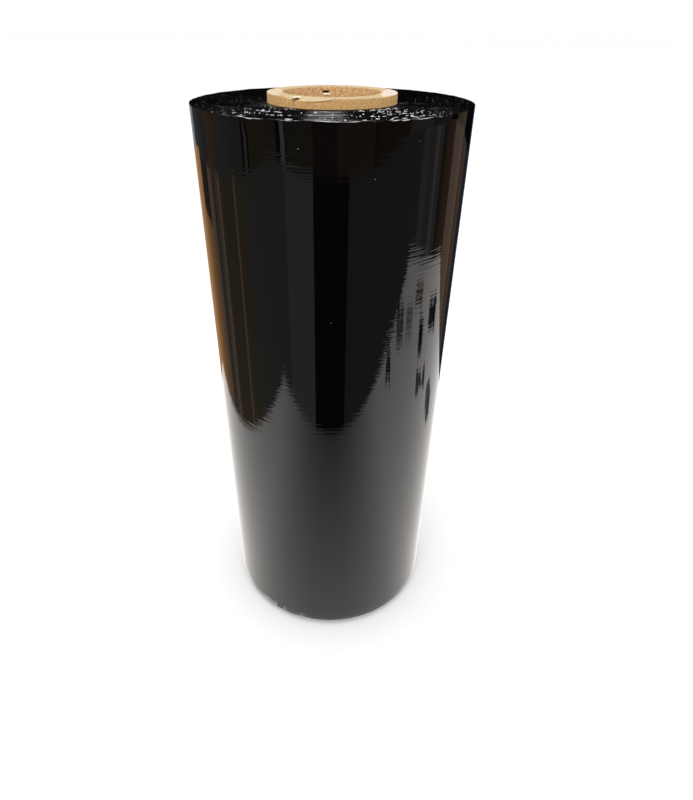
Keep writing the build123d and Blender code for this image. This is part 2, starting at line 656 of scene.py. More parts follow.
@dataclass
class Core:
    """The kraft paperboard tube, with its shaved edge, its nick and its gouge."""

    radius: float
    bore: float
    length: float
    segments: int = 360
    edge_round_mm: float = 0.5
    fuzz_mm: float = 0.10
    shave_azimuth: float = -22.0
    shave_drop_mm: float = 2.3
    shave_bite_mm: float = 5.0
    nick_azimuth: float = -31.0
    nick_drop_mm: float = 1.6
    nick_size_mm: tuple[float, float, float] = (5.5, 3.0, 1.0)
    nick_slope: float = 20.0
    flap_mm: tuple[float, float, float] = (6.4, 1.9, 0.3)
    flap_lift_mm: float = 1.3
    rip_azimuth: float = -33.5
    rip_drop_mm: float = 3.8
    rip_size_mm: tuple[float, float, float] = (0.3, 0.3, 2.0)
    gouge_azimuth: float = -172.0
    gouge_drop_mm: float = 4.0
    gouge_size_mm: tuple[float, float, float] = (6.0, 1.8, 1.8)
    curl_mm: float = 1.3
    curl_half_mm: float = 4.2
    end_zone_mm: float = 12.0
    end_row_mm: float = 0.55
    middle_rows: int = 24
    wall_rings: int = 15
    end_reach_mm: float = 3.0
    edge_reach_mm: float = 2.5

    outer_ply: Board = Board(
        "outer_ply", shade=(0.61, 0.37, 0.145), dark=(0.48, 0.28, 0.105), pale=(0.70, 0.44, 0.185),
        fleck=(0.30, 0.16, 0.055), mottle=0.13, relief_mm=0.05,
    )
    sawn_end: Board = Board(
        "sawn_end", shade=(0.54, 0.395, 0.21), dark=(0.44, 0.305, 0.145), pale=(0.60, 0.465, 0.26),
        fleck=(0.30, 0.18, 0.09), mottle=0.16, relief_mm=0.10, plies=True,
    )
    bore_ply: Board = Board(
        "bore_ply", shade=(0.65, 0.39, 0.175), dark=(0.40, 0.22, 0.09), pale=(0.82, 0.55, 0.285),
        fleck=(0.18, 0.07, 0.03), mottle=0.15, relief_mm=0.14,
    )
    torn_ply: Board = Board(
        "torn_ply", shade=(0.92, 0.82, 0.62), dark=(0.84, 0.70, 0.48), pale=(0.96, 0.90, 0.74),
        fleck=(0.60, 0.44, 0.26), mottle=0.16, relief_mm=0.08,
    )

    def section(self) -> list[tuple[float, float]]:
        """Lays out the wall's section, close-set where the ends stand out of the film.

        Returns:
            (radius, height) of the section's points, in order.
        """
        near, fine = self.end_zone_mm * MM, self.end_row_mm * MM
        round_ = self.edge_round_mm * MM
        rows = int((near - round_) / fine)
        middle = spread(near, self.length - near, self.middle_rows)
        upper = spread(self.length - near, self.length - round_, rows)
        heights = [*spread(round_, near, rows), *middle, *upper]
        depths = spread(self.radius - round_, self.bore + round_, self.wall_rings)
        arc = [math.radians(a) for a in (0.0, 30.0, 60.0)]
        points = [(self.radius, height) for height in heights]
        centre = (self.radius - round_, self.length - round_)
        points += [(centre[0] + round_ * math.cos(a), centre[1] + round_ * math.sin(a)) for a in arc]
        points += [(depth, self.length) for depth in depths]
        centre = (self.bore + round_, self.length - round_)
        points += [(centre[0] - round_ * math.sin(a), centre[1] + round_ * math.cos(a)) for a in arc]
        points += [(self.bore, self.length - height) for height in heights]
        centre = (self.bore + round_, round_)
        points += [(centre[0] - round_ * math.cos(a), centre[1] - round_ * math.sin(a)) for a in arc]
        depths = spread(self.bore + round_, self.radius - round_, self.wall_rings)
        points += [(depth, 0.0) for depth in depths]
        centre = (self.radius - round_, round_)
        points += [(centre[0] + round_ * math.sin(a), centre[1] - round_ * math.cos(a)) for a in arc]
        return points

    def _worn(self, place: Vector) -> Vector:
        """Roughens the tube's edges and raises the torn ply under the gouge.

        Args:
            place: a point of the smooth tube.

        Returns:
            Where the point goes.
        """
        radius, azimuth = place.xy.length, azimuth_of(place)
        drop = 0.0
        end_reach, edge_reach = self.end_reach_mm * MM, self.edge_reach_mm * MM
        at_end = hump(self.length - place.z, end_reach) + hump(place.z, end_reach)
        at_edge = at_end * (hump(self.radius - radius, edge_reach) + hump(radius - self.bore, edge_reach))
        rag = 0.5 + 0.5 * noise.noise(place * 420.0) + 0.3 * noise.noise(place * 1100.0)
        side = 1.0 if radius > (self.radius + self.bore) / 2 else -1.0
        inwards = self.fuzz_mm * MM * (0.12 + at_edge) * rag * side
        if at_end > 0.9:
            drop += self.fuzz_mm * MM * 1.2 * max(0.0, rag + at_edge)
        if radius < self.bore + 1.0 * MM:
            inwards += self._curl(azimuth, place.z)
        moved = on_roll(azimuth, radius - inwards, place.z)
        moved.z += -drop if place.z > self.length / 2 else drop
        return moved

    def _curl(self, azimuth: float, height: float) -> float:
        """Finds how far the torn ply under the gouge stands into the bore.

        Args:
            azimuth: where, in degrees.
            height: where, in metres.

        Returns:
            The distance in metres, added to how far the wall is moved towards the axis.
        """
        along = math.radians(turned_between(azimuth, self.gouge_azimuth)) * self.bore
        below = self.length - self.gouge_drop_mm * MM - height
        rim = self.gouge_size_mm[1] / 2 * MM
        if below < rim * 0.6:
            return 0.0
        lip = eased(below, rim * 0.6, rim + 1.0 * MM) * (1.0 - eased(below, rim + 1.0 * MM, rim + 2.0 * MM))
        return self.curl_mm * MM * hump(along + 0.5 * MM, self.curl_half_mm * MM) * lip

    def _block(self, name: str, size: Vector, where: Matrix) -> bpy.types.Object:
        """Makes a rough cutting block.

        Args:
            name: its name.
            size: its lengths along X, Y and Z before it is placed.
            where: its placement.

        Returns:
            The block, as an object of its own.
        """
        bm = bmesh.new()
        bmesh.ops.create_cube(bm, size=1.0)
        bmesh.ops.scale(bm, vec=size, verts=bm.verts)
        bmesh.ops.subdivide_edges(bm, edges=bm.edges, cuts=4, use_grid_fill=True)
        for vert in bm.verts:
            vert.co += noise.noise_vector(vert.co * 700.0) * min(0.35 * MM, min(size) * 0.3)
        bmesh.ops.transform(bm, matrix=where, verts=bm.verts)
        return shown(name, bm, [], 30.0)

    def _facing(self, azimuth: float, radius: float, drop_mm: float, slope: float = 0.0) -> Matrix:
        """Places a block that faces out of the wall.

        Args:
            azimuth: where, in degrees.
            radius: the radius of the block's middle.
            drop_mm: how far its middle lies below the upper end.
            slope: degrees by which it rises towards +X at the front.

        Returns:
            The placement.
        """
        centre = on_roll(azimuth, radius, self.length - drop_mm * MM)
        facing = Matrix.Rotation(math.radians(azimuth), 4, "Z")
        tilt = Matrix.Rotation(math.radians(slope), 4, "Y").inverted()
        return Matrix.Translation(centre) @ (facing @ tilt)

    def cutters(self) -> list[bpy.types.Object]:
        """Makes the blocks that cut the nick, the rip and the gouge.

        Returns:
            The blocks, in the order in which they cut.
        """
        long_, deep, wide = (value * MM for value in self.nick_size_mm)
        nick = self._block(
            "nick", Vector((long_, deep * 2, wide)),
            self._facing(self.nick_azimuth, self.radius, self.nick_drop_mm, self.nick_slope),
        )
        across, depth, tall = (value * MM for value in self.rip_size_mm)
        rip = self._block(
            "rip", Vector((across, depth * 2, tall)),
            self._facing(self.rip_azimuth, self.radius, self.rip_drop_mm),
        )
        span, height, bite = (value * MM for value in self.gouge_size_mm)
        gouge = self._block(
            "gouge", Vector((span, bite * 2, height)),
            self._facing(self.gouge_azimuth, self.bore, self.gouge_drop_mm),
        )
        return [nick, rip, gouge]

    def shave_plane(self) -> tuple[Vector, Vector]:
        """Finds the sloping plane along which the crescent is shaved off.

        Returns:
            A point on the plane, and its normal.
        """
        tilt = math.atan2(self.shave_drop_mm, self.shave_bite_mm)
        outwards = on_roll(self.shave_azimuth, 1.0, 0.0)
        normal = outwards * math.sin(tilt) + Vector((0.0, 0.0, math.cos(tilt)))
        return outwards * self.radius + Vector((0.0, 0.0, self.length - self.shave_drop_mm * MM)), normal

    def _shaved(self, bm: bmesh.types.BMesh) -> None:
        """Slices the crescent off the upper outer edge and closes the cut.

        Args:
            bm: the tube.
        """
        foot, normal = self.shave_plane()
        geometry = [*bm.verts, *bm.edges, *bm.faces]
        cut = bmesh.ops.bisect_plane(
            bm, geom=geometry, dist=1e-7, plane_co=foot, plane_no=normal, clear_outer=True
        )
        rim = [item for item in cut["geom_cut"] if isinstance(item, bmesh.types.BMEdge)]
        bmesh.ops.contextual_create(bm, geom=rim)
        # The slice leaves its points in no fixed order, and the cuts that follow depend on the order.
        order = Vector((0.377, 0.619, 1.0))
        bm.verts.sort(key=lambda vert: vert.co.dot(order))
        bm.faces.sort(key=lambda face: face.calc_center_median().dot(order))

    def build(self) -> bpy.types.Object:
        """Makes the tube, cuts its wear and dresses it.

        Returns:
            The piece, which replaces the frame's core.
        """
        bm = spun(self.section(), self.segments)
        for vert in bm.verts:
            vert.co = self._worn(vert.co)
        self._shaved(bm)
        piece = shown("core_tube", bm, [], 40.0)
        blocks = self.cutters()
        for block in blocks:
            cut = piece.modifiers.new(block.name, "BOOLEAN")
            cut.operation, cut.solver, cut.object = "DIFFERENCE", "MANIFOLD", block
        bpy.context.view_layer.update()
        solid = bpy.data.meshes.new_from_object(piece.evaluated_get(bpy.context.evaluated_depsgraph_get()))
        if len(solid.polygons) <= len(piece.data.polygons):
            raise RuntimeError("the nick, the rip and the gouge were not cut into the core")
        piece.modifiers.clear()
        piece.data = solid
        for block in blocks:
            bpy.data.objects.remove(block)
        self._dressed(piece)
        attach(piece, "root")
        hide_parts("core")
        return piece

    def build_flap(self) -> bpy.types.Object:
        """Makes the ply that is lifted along the upper side of the nick.

        Returns:
            The piece, a thin curled tongue that lies on the shaved face.
        """
        long_, tall, thick = (value * MM for value in self.flap_mm)
        foot, normal = self.shave_plane()
        edge = self.length - self.nick_drop_mm * MM + self.nick_size_mm[2] * 0.45 * MM
        bm = bmesh.new()
        bmesh.ops.create_grid(bm, x_segments=16, y_segments=6, size=0.5)
        for vert in bm.verts:
            along, up = vert.co.x * long_, vert.co.y + 0.5
            azimuth = self.nick_azimuth - 1.0 + math.degrees(along / self.radius)
            start = edge + math.tan(math.radians(self.nick_slope)) * along
            height = min(self.length - 0.1 * MM, start + up * tall * (1.0 - eased(vert.co.x, 0.0, 0.6)))
            way = on_roll(azimuth, 1.0, 0.0)
            reach = (normal.dot(foot) - normal.z * height) / normal.dot(way)
            lift = self.flap_lift_mm * MM * (1.0 - up) ** 1.5 * (1.0 - eased(vert.co.x, -0.25, 0.5))
            vert.co = on_roll(azimuth, min(self.radius, reach), height) + normal * (lift + 0.05 * MM)
            vert.co += noise.noise_vector(vert.co * 600.0) * 0.12 * MM
        bmesh.ops.solidify(bm, geom=bm.faces[:], thickness=thick)
        for vert in bm.verts:
            vert.co.z = min(vert.co.z, self.length - 0.01 * MM)
        bmesh.ops.recalc_face_normals(bm, faces=bm.faces)
        piece = shown("lifted_ply", bm, [self.torn_ply.material()], 50.0)
        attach(piece, "root")
        return piece

    def _dressed(self, piece: bpy.types.Object) -> None:
        """Gives each face of the tube its finish: outside, sawn end or bore.

        Args:
            piece: the tube.
        """
        top = self.length
        gouge_height = top - self.gouge_drop_mm * MM
        nick_height = top - self.nick_drop_mm * MM
        # dark is the colour of painted shade in the gouge's hollow and the nick's slit; pale is the torn
        # ply's own colour
        pale, dark = (0.95, 0.88, 0.74), (0.07, 0.035, 0.015)
        torn = Scar(
            pale, self.gouge_azimuth - 1.0, self.bore - 1.0 * MM, gouge_height - 1.8 * MM, (4.0, 0.9, 3.4)
        )
        # painted shade: darkens the gouge's hollow, where its shadow falls
        painted_gouge_shade = Scar(dark, self.gouge_azimuth, self.bore + 1.0 * MM, gouge_height, (3.3, 1.2, 3.0))
        fleck = Scar((0.20, 0.09, 0.04), 169.0, self.bore, top - 3.4 * MM, (0.9, 0.55, 1.0))
        # painted shade: darkens the nick's slit and the board round it, where its shadow falls
        painted_nick_shade = Scar(
            dark, self.nick_azimuth, self.radius - 1.7 * MM, nick_height - 0.15 * MM, (2.9, 0.95, 1.7),
            self.nick_slope,
        )
        # painted shade: darkens the rip, a thin cut slot, and its edges, where its shadow falls
        rip = Scar(
            (0.30, 0.17, 0.07), self.rip_azimuth, self.radius - 0.2 * MM, top - 3.7 * MM, (0.36, 1.2, 0.7)
        )
        # painted highlight: the sawn end is painted paler at its right side, where light glances off it
        painted_right_highlight = Scar((0.72, 0.62, 0.53), 80.0, self.radius, top, (40.0, 8.0, 14.0), strength=0.8)
        # painted highlight: the sawn end is painted paler at its left side, where light glances off it
        painted_left_highlight = Scar((0.61, 0.49, 0.33), -85.0, self.radius, top, (36.0, 8.0, 14.0), strength=0.8)
        # the sawn end is darker and browner towards the back
        darker_back = Scar((0.46, 0.35, 0.22), 180.0, self.radius, top, (42.0, 8.0, 14.0), strength=0.8)
        fresh = Scar(
            (0.56, 0.43, 0.25), self.shave_azimuth, self.radius, top - 1.2 * MM, (27.0, 4.0, 8.0),
            strength=0.9,
        )
        foot, normal = self.shave_plane()
        # painted shadow: a brown line of shade along the wall under the shaved crescent's edge
        painted_shave_shadow = PaintedShaveShadow((0.24, 0.125, 0.045), foot, normal, -25.0, 5.0)
        finishes = [
            self.outer_ply.material((painted_shave_shadow, painted_nick_shade, rip)),
            self.sawn_end.material((painted_right_highlight, painted_left_highlight, darker_back, fresh, painted_nick_shade)),
            self.bore_ply.material((painted_gouge_shade, torn, fleck)),
        ]
        mesh = piece.data
        mesh.materials.clear()
        for finish in finishes:
            mesh.materials.append(finish)
        middle = (self.radius + self.bore) / 2
        for face in mesh.polygons:
            radius = face.center.xy.length
            level = abs(face.normal.z) > 0.6 and min(face.center.z, self.length - face.center.z) < 3.5 * MM
            shaved = face.normal.z > 0.5 and face.center.z > self.length - 3.0 * MM
            face.material_index = 1 if level or shaved else (0 if radius > middle else 2)
        mesh.shade_smooth()
        mesh.set_sharp_from_angle(angle=math.radians(32.0))


@dataclass(frozen=True)
class Dent:
    """A place on an end where a few turns' edges are pressed in or stand up."""

    radius: float
    azimuth: float
    half_length: float
    half_width: float
    rise: float


@dataclass
class FilmRoll:
    """The wound film: one closed body, with stepped ends and a slack, wavy rim."""

    core_radius: float
    radius: float
    low: float
    high: float
    segments: int = 384
    side_rows: int = 64
    ring_mm: float = 0.66
    plain_ring_mm: float = 1.5
    rim_mm: float = 1.8
    rim_zone_mm: float = 3.2
    web_drift_mm: tuple[float, ...] = (0.0, 0.45, 0.15, 0.6, 0.25, 0.7, 0.4, 0.55)
    drift_run_mm: float = 4.0
    gauge_mm: float = 0.022
    tail_azimuth: float = -158.0
    tail_mm: float = 0.05
    wander_mm: float = 1.4
    ring_relief_mm: float = 0.10
    short_relief_mm: float = 0.07
    wave_mm: float = 0.9
    wave_zone_mm: tuple[float, float] = (9.0, 1.5)
    least_slump: float = 0.03
    flutter_slump: dict[End, float] = field(default_factory=lambda: {End.UPPER: 0.06, End.LOWER: 0.15})
    dents: list[Dent] = field(default_factory=list)
    dent_count: int = 440
    frayed: tuple[tuple[float, float], ...] = ((-44.0, 14.0), (40.0, 13.0))
    slack: tuple[tuple[float, float, float], ...] = (
        (-28.0, 5.5, 0.9), (-14.5, 4.0, 0.5), (-0.5, 7.0, 1.0), (7.0, 3.0, 0.5), (24.0, 6.5, 1.0),
        (33.0, 6.5, 0.6), (42.0, 5.0, 0.4), (-40.0, 4.0, 0.3),
    )
    gloss: GlossFilm = GlossFilm()
    edges: FilmEdges = FilmEdges()
    turned: TurnedFilm = TurnedFilm()

    @property
    def levels(self) -> dict[End, float]:
        """The height of each end of the web where it has no drift."""
        return {End.LOWER: self.low, End.UPPER: self.high - max(self.web_drift_mm) * MM}

    def bands(self) -> list[float]:
        """Finds the radii that bound the bands of equal film length.

        Returns:
            The radii, from the core outwards.
        """
        inner = self.core_radius**2
        step = (self.radius**2 - inner) / len(self.web_drift_mm)
        return [math.sqrt(inner + step * i) for i in range(len(self.web_drift_mm) + 1)]

    def drift(self, radius: float) -> float:
        """Finds how far the web has drifted along the axis.

        Args:
            radius: where, from the axis.

        Returns:
            The drift in metres.
        """
        run = self.drift_run_mm * MM
        drift = self.web_drift_mm[0]
        for bound, before, after in zip(self.bands()[1:], self.web_drift_mm, self.web_drift_mm[1:]):
            drift += (after - before) * eased(radius, bound - run / 2, bound + run / 2)
        return drift * MM

    def section(self) -> list[tuple[float, float]]:
        """Lays out the section: along the lower end, up the side, and back along the upper end.

        Returns:
            (radius, height) of the section's points, in order.
        """
        lower, upper = self.levels[End.LOWER], self.levels[End.UPPER]
        zone = self.radius - self.rim_zone_mm * MM
        rim = self.rim_mm * MM
        few = int((zone - self.core_radius) / (self.plain_ring_mm * MM))
        many = int((zone - self.core_radius) / (self.ring_mm * MM))
        arc = [math.radians(a) for a in (90.0, 72.0, 54.0, 36.0, 18.0, 0.0)]
        shoulder = [self.radius - 2.8 * MM, self.radius - 2.4 * MM]
        inner = self.radius - rim
        points = [(r, lower) for r in [*spread(self.core_radius, zone, few), zone, *shoulder]]
        points += [(inner + rim * math.cos(a), lower + rim - rim * math.sin(a)) for a in arc]
        points += [(self.radius, z) for z in spread(lower + rim, upper - rim, self.side_rows)[1:]]
        points += [(inner + rim * math.cos(a), upper - rim + rim * math.sin(a)) for a in reversed(arc)]
        rings = [*spread(self.core_radius, zone, many), zone, *shoulder]
        points += [(r, upper) for r in reversed(rings)]
        return points

    def scatter_dents(self) -> None:
        """Chooses the nicked and turned-up places of the upper end."""
        chance = random.Random(41)
        span = self.radius - self.core_radius
        for _ in range(self.dent_count):
            depth = chance.random() ** 0.8
            radius = self.core_radius + span * (0.07 + 0.90 * depth)
            rise = chance.choice((-1.0, -1.0, 1.0)) * chance.uniform(0.02, 0.08) * MM
            half_length = (0.4 + 1.9 * chance.random() ** 2.5) * MM
            half_width = chance.uniform(0.6, 1.1) * MM
            patch = chance.choice(self.frayed)
            azimuth = chance.gauss(*patch) if chance.random() < 0.5 else chance.uniform(-115.0, 115.0)
            self.dents.append(Dent(radius, azimuth, half_length, half_width, rise))

    def end_relief(self, radius: float, azimuth: float, end: End) -> float:
        """How far an end's surface stands out from its level, in metres and away from the roll.

        Args:
            radius: where, from the axis.
            azimuth: where, in degrees.
            end: which end.

        Returns:
            The relief without the dents.
        """
        layer = 3.0 + end.value
        wander = self.wander_mm * MM * flutter(azimuth, 4.0, layer)
        turn = math.radians(azimuth)
        across = radius / MM
        ring = noise.noise(Vector((1.1 * math.cos(turn), 1.1 * math.sin(turn) + layer, across * 0.83)))
        short = noise.noise(Vector((7.0 * math.cos(turn), 7.0 * math.sin(turn) + layer, across * 0.5)))
        relief = self.ring_relief_mm * ring + self.short_relief_mm * short
        relief = end.value * self.drift(radius + wander) + relief * MM
        start, full = self.wave_zone_mm
        outermost = eased(radius, self.radius - start * MM, self.radius - full * MM)
        slack = 0.5 + 0.5 * flutter(azimuth, 9.0, 7.0 + layer)
        waves = 0.55 * flutter(azimuth, 60.0, 11.0 + layer) + 0.35 * flutter(azimuth, 160.0, 13.0 + layer)
        return relief + outermost * slack * waves * self.wave_mm * MM

    def shaped(self, bm: bmesh.types.BMesh) -> None:
        """Moves the turned body's points to the web's drift, slack rims and gauge bands.

        Args:
            bm: the turned body.
        """
        lower, upper = self.levels[End.LOWER], self.levels[End.UPPER]
        rim = self.rim_mm * MM
        for vert in bm.verts:
            place = vert.co
            radius, azimuth = place.xy.length, azimuth_of(place)
            inside = self.radius - radius
            end = End.UPPER if place.z > (lower + upper) / 2 else End.LOWER
            level = self.levels[end]
            drop = abs(level - place.z)
            fade = 1.0 - eased(drop, 0.4 * rim, 12.0 * MM)
            relief = self.end_relief(radius, azimuth, end) * fade if fade > 0.0 else 0.0
            if inside <= rim * 1.01 and drop <= rim * 1.01:
                sharp = 1.0 - self._slump(azimuth, end)
                inside -= inside * sharp
                place.z += end.value * drop * sharp
            if inside < 0.6 * MM:
                inside += self._hoops(azimuth, place.z)
            vert.co = on_roll(azimuth, self.radius - inside, place.z + end.value * relief)

    def _slump(self, azimuth: float, end: End) -> float:
        """Finds how round the rim is.

        Args:
            azimuth: where, in degrees.
            end: which end.

        Returns:
            A share of the rim's widest rounding.
        """
        share = max(0.0, flutter(azimuth, 26.0, 17.0 + end.value)) * self.flutter_slump[end]
        if end is End.UPPER:
            slack = max(amount * hump(turned_between(azimuth, at), reach) for at, reach, amount in self.slack)
            share = max(share, slack * min(1.0, max(0.0, 0.50 + 2.4 * flutter(azimuth, 170.0, 23.0))))
        return min(1.0, self.least_slump + (1.0 - self.least_slump) * share)

    def _hoops(self, azimuth: float, height: float) -> float:
        """Finds how far the side lies inside its full radius: gauge bands, soft flats and the tail's edge.

        Args:
            azimuth: where, in degrees.
            height: where, in metres.

        Returns:
            The distance in metres.
        """
        bands = noise.noise(Vector((0.3, 0.7, height * 21.0)))
        bands += 0.45 * noise.noise(Vector((2.3, 0.1, height * 55.0)))
        flats = flutter(azimuth, 7.0, height * 3.0) + 0.4 * flutter(azimuth, 19.0, height * 9.0 + 5.0)
        past_tail = turned_between(azimuth, self.tail_azimuth) % 360.0
        spiral = self.tail_mm * MM * (1.0 - past_tail / 360.0)
        return self.gauge_mm * MM * (1.4 + 0.6 * bands + 0.35 * flats) + spiral

    def press_dents(self, bm: bmesh.types.BMesh) -> None:
        """Presses the dents into the upper end.

        Args:
            bm: the body, in its final shape but for them.
        """
        upper = self.levels[End.UPPER]
        face = [v for v in bm.verts if v.co.z > upper - 1.2 * MM and v.co.xy.length < self.radius - 1.0 * MM]
        tree = kdtree.KDTree(len(face))
        for index, vert in enumerate(face):
            tree.insert(Vector((*vert.co.xy, 0.0)), index)
        tree.balance()
        for dent in self.dents:
            centre = on_roll(dent.azimuth, dent.radius, 0.0)
            turn = math.radians(dent.azimuth)
            around = Vector((math.cos(turn), math.sin(turn), 0.0))
            for place, index, _ in tree.find_range(centre, dent.half_length + dent.half_width):
                offset = place - centre
                along = offset.dot(around) / dent.half_length
                across = (place.length - dent.radius) / dent.half_width
                face[index].co.z += dent.rise * hump(math.hypot(along, across), 1.0)

    def build(self) -> bpy.types.Object:
        """Makes the film's body.

        Returns:
            The piece, which replaces the frame's film_roll.
        """
        self.scatter_dents()
        bm = spun(self.section(), self.segments)
        self.shaped(bm)
        self.press_dents(bm)
        lower, upper = self.levels[End.LOWER], self.levels[End.UPPER]
        for face in bm.faces:
            centre = face.calc_center_median()
            at_end = centre.z > upper - 0.5 * MM or centre.z < lower + 0.5 * MM
            face.material_index = 1 if at_end and centre.xy.length < self.radius - 0.9 * MM else 0
        piece = shown("film", bm, [self.gloss.material(self.radius), self.edges.material()], 60.0)
        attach(piece, "root")
        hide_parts("film_roll")
        return piece

    def _raise_sliver(self, bm: bmesh.types.BMesh, dent: Dent, chance: random.Random) -> None:
        """Adds one sliver, which leans inwards over its dent and is highest in its middle.

        Args:
            bm: the mesh that all the slivers share.
            dent: the place where it stands up.
            chance: the source of its size and lean.
        """
        height = chance.uniform(0.12, 0.36) * MM
        lean = chance.uniform(-1.7, -0.6)
        base = self.levels[End.UPPER] + self.drift(dent.radius) - 0.2 * MM
        reach = math.degrees(dent.half_length * chance.uniform(0.8, 1.3) / dent.radius)
        foot = [
            bm.verts.new(on_roll(dent.azimuth + turn, dent.radius, base))
            for turn in [*spread(-reach, reach, 6), reach]
        ]
        line = [bm.edges.new(pair) for pair in zip(foot, foot[1:])]
        raised = bmesh.ops.extrude_edge_only(bm, edges=line)
        for tip in (item for item in raised["geom"] if isinstance(item, bmesh.types.BMVert)):
            azimuth = azimuth_of(tip.co)
            share = turned_between(azimuth, dent.azimuth) / reach
            stand = height * max(0.0, 1.0 - share * share) * chance.uniform(0.75, 1.1) + 0.1 * MM
            tip.co = on_roll(azimuth, dent.radius + lean * stand, base + stand + 0.15 * MM)

    def build_turned_edges(self) -> bpy.types.Object:
        """Makes the slivers of film edge that stand up out of the upper end.

        Returns:
            The piece, one mesh of many small closed slivers.
        """
        chance = random.Random(12)
        bm = bmesh.new()
        for dent in self.dents:
            self._raise_sliver(bm, dent, chance)
        bmesh.ops.solidify(bm, geom=bm.faces[:], thickness=0.06 * MM)
        bmesh.ops.recalc_face_normals(bm, faces=bm.faces)
        piece = shown("turned_edges", bm, [self.turned.material()], 50.0)
        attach(piece, "root")
        return piece


# --- stage -------------------------------------------------------------------------------------------


def seen_by(piece: bpy.types.Object, who: SeenBy) -> None:
    """Limits the rays that meet a staged surface.

    Args:
        piece: the surface.
        who: which rays meet it.
    """
    if who is SeenBy.EYE_AND_LIGHT:
        piece.visible_glossy = False
    if who is SeenBy.GLOSS:
        piece.visible_camera = False
        piece.visible_diffuse = False
        piece.visible_shadow = False
        piece.visible_transmission = False


def glowing(name: str, colour: Colour, radiance: float) -> bpy.types.Material:
    """Makes a material that gives off an even light.

    Args:
        name: the material's name.
        colour: the light's tint.
        radiance: the light's strength.

    Returns:
        The material.
    """
    bench = Bench.for_finish(name)
    light = bench.add("ShaderNodeEmission", inputs={"Color": (*colour, 1.0), "Strength": radiance})
    bench.add("ShaderNodeOutputMaterial", inputs={"Surface": light.outputs[0]})
    return bench.owner


def matt(name: str, colour: Colour) -> bpy.types.Material:
    """Makes a plain matt material.

    Args:
        name: the material's name.
        colour: its colour, which clouds a little towards a paler one.

    Returns:
        The material.
    """
    bench = Bench.for_finish(name)
    cloud = bench.grain(bench.place, 3.0, 2.0)
    paler = tuple(min(1.0, c * 1.02) for c in colour)
    return bench.finish({"Base Color": bench.mixed(cloud, colour, paler), "Roughness": 0.9, "IOR": 1.3})


@dataclass(frozen=True)
class Sheet:
    """The pale rectangle that gloss shows under the roll, by the distance of each edge from the axis."""

    front: float = 0.46
    back: float = 0.385
    left: float = 0.414
    right: float = 1.20
    colour: Colour = (1.0, 0.965, 0.93)
    radiance: float = 1.52
    shade_half_width: float = 0.16
    shade_widening: float = 0.70
    shade_depth: float = 0.25
    shade_deepening: float = 1.15

    def reach(self, azimuth: float) -> float:
        """Finds the distance from the axis to the sheet's edge.

        Args:
            azimuth: which way, in degrees.

        Returns:
            The distance in metres.
        """
        way = on_roll(azimuth, 1.0, 0.0)
        across = (self.right if way.x > 0.0 else self.left) / max(1e-6, abs(way.x))
        along = (self.back if way.y > 0.0 else self.front) / max(1e-6, abs(way.y))
        return min(across, along)

    def glow(self) -> bpy.types.Material:
        """Makes its pale light, which fades softly towards the middle of its front edge.

        Returns:
            The material.
        """
        bench = Bench.for_finish("sheet_glow")
        x, y, _ = bench.axes()
        ahead = (y * -1.0).most(0.0)
        aside = abs(x) / (ahead * self.shade_widening + self.shade_half_width)
        shade = (1.0 - aside * aside).most(0.0) ** 2.0 * (ahead * self.shade_deepening + self.shade_depth)
        return bench.glow_finish(bench.mixed(shade, self.colour, (0.0, 0.0, 0.0)), self.radiance)


@dataclass(frozen=True)
class Card:
    """An upright card that only gloss shows. It follows the sheet's outline, at some times its distance."""

    name: str
    first_azimuth: float
    last_azimuth: float
    radiance: float
    tint: Colour = (1.0, 1.0, 1.0)
    low: float = 0.0
    high: float = 0.395
    out: float = 1.0

    def build(self, sheet: Sheet) -> bpy.types.Object:
        """Makes the card.

        Args:
            sheet: the sheet that it stands round.

        Returns:
            The card, which only gloss shows.
        """
        bm = bmesh.new()
        steps = max(2, int(abs(self.last_azimuth - self.first_azimuth) / 2.0))
        azimuths = [*spread(self.first_azimuth, self.last_azimuth, steps), self.last_azimuth]
        foot = [bm.verts.new(on_roll(a, sheet.reach(a) * self.out, self.low)) for a in azimuths]
        line = [bm.edges.new(pair) for pair in zip(foot, foot[1:])]
        raised = bmesh.ops.extrude_edge_only(bm, edges=line)
        top = [item for item in raised["geom"] if isinstance(item, bmesh.types.BMVert)]
        bmesh.ops.translate(bm, vec=(0.0, 0.0, self.high - self.low), verts=top)
        piece = shown(self.name, bm, [glowing(self.name, self.tint, self.radiance)], 60.0)
        seen_by(piece, SeenBy.GLOSS)
        return piece


